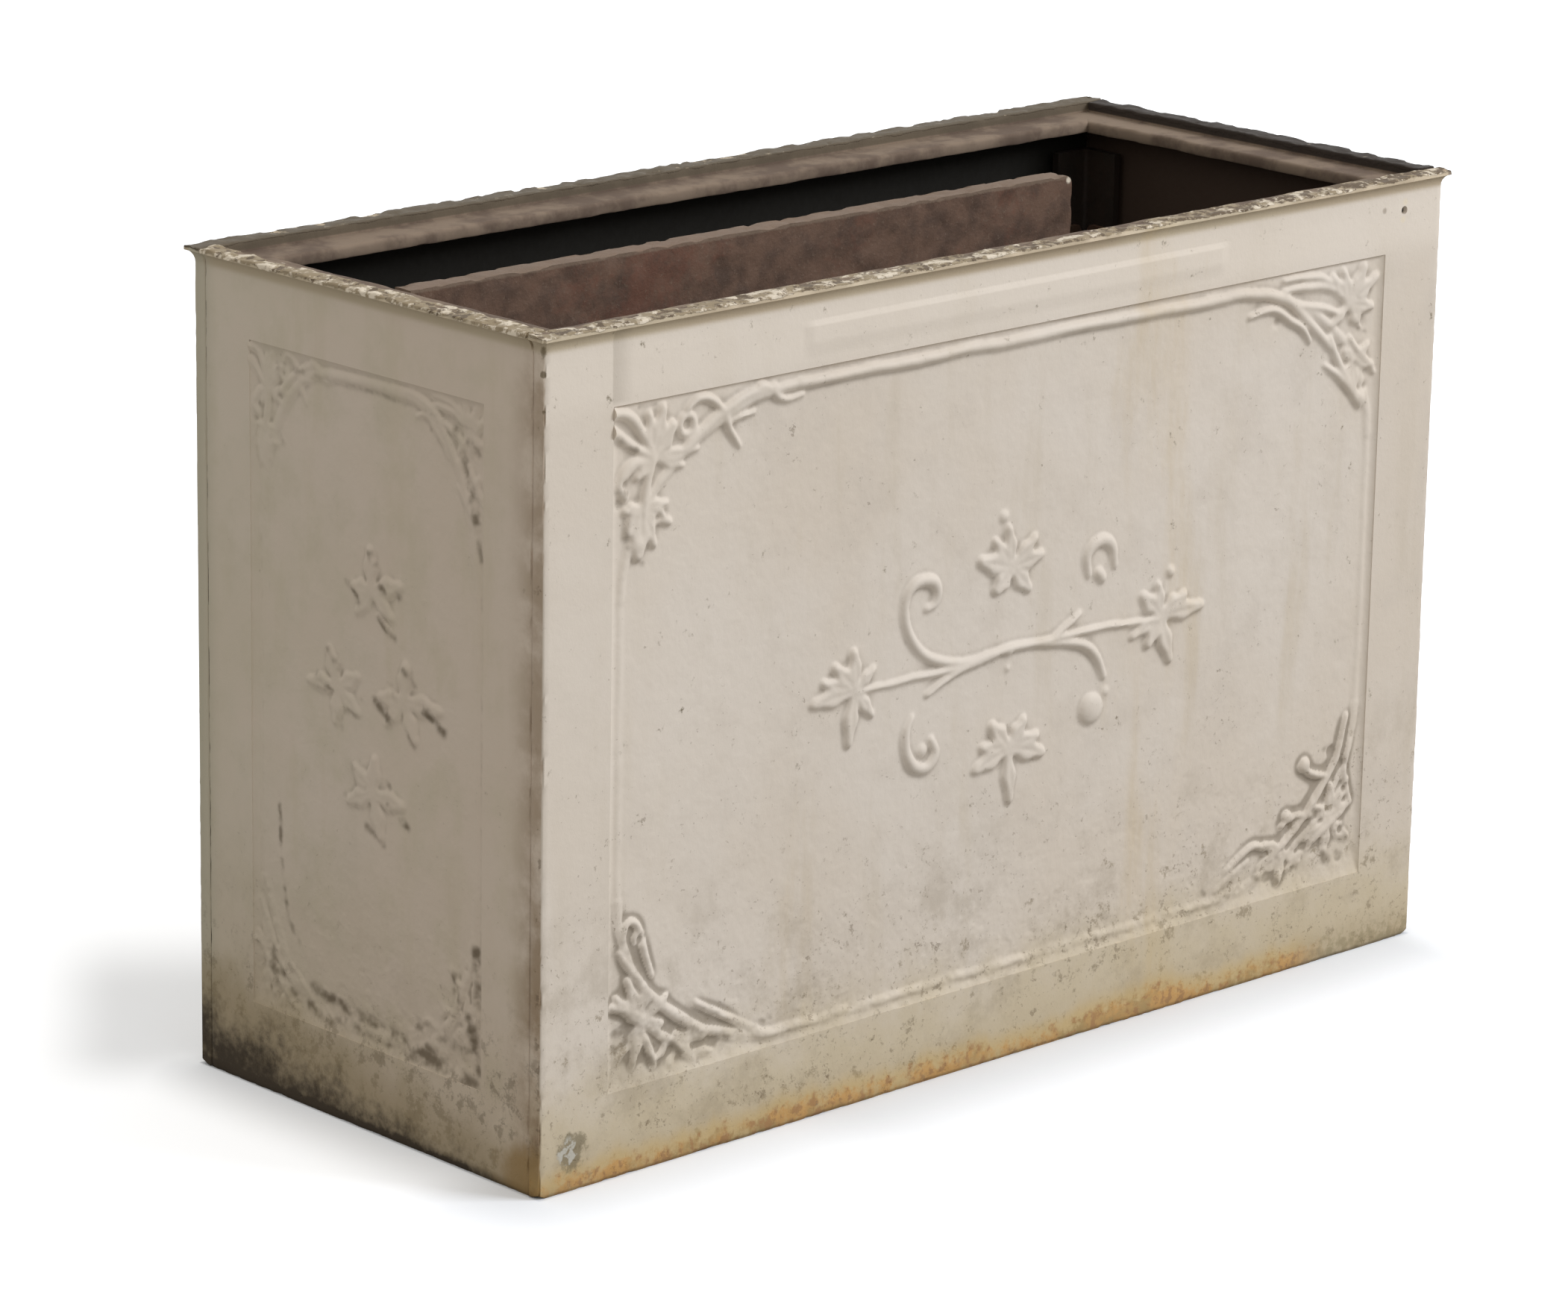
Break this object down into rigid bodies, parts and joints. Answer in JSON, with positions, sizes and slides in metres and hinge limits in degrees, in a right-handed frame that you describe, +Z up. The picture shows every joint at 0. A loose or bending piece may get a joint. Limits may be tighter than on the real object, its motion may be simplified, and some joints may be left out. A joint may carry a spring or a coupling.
{
  "type": "plant trough",
  "caption": "Rectangular cast iron plant trough with a flared rim, relief foliage in rod-framed panels and an inner partition plate.",
  "frame": {"origin": "on the floor under the middle of the trough", "axes": "+X along the long walls, +Z up; the decorated long face looks towards -Y"},
  "size_m": [0.61, 0.2574, 0.4065],
  "materials": {
    "painted_casting": "old cream paint, chipped and rust stained",
    "bare_iron": "dark, soil stained",
    "rusted_plate": "brown rust",
    "fixings": "rusted"
  },
  "bodies": {
    "root": {"front_panel": "painted_casting", "back_panel": "painted_casting", "left_end_panel": "painted_casting", "right_end_panel": "painted_casting", "base_plate": "bare_iron", "corner_angle_front_left": "bare_iron", "corner_angle_front_right": "bare_iron", "corner_angle_back_left": "bare_iron", "corner_angle_back_right": "bare_iron", "front_panel_screws": "fixings", "back_panel_screws": "fixings", "left_end_screws": "fixings", "right_end_screws": "fixings", "base_screws": "fixings", "partition_plate": "rusted_plate", "partition_end_angle": "bare_iron", "partition_foot_angle": "bare_iron", "partition_bolts": "fixings", "partition_nuts": "fixings", "foot_angle_screws": "fixings"}
  },
  "joints": []
}
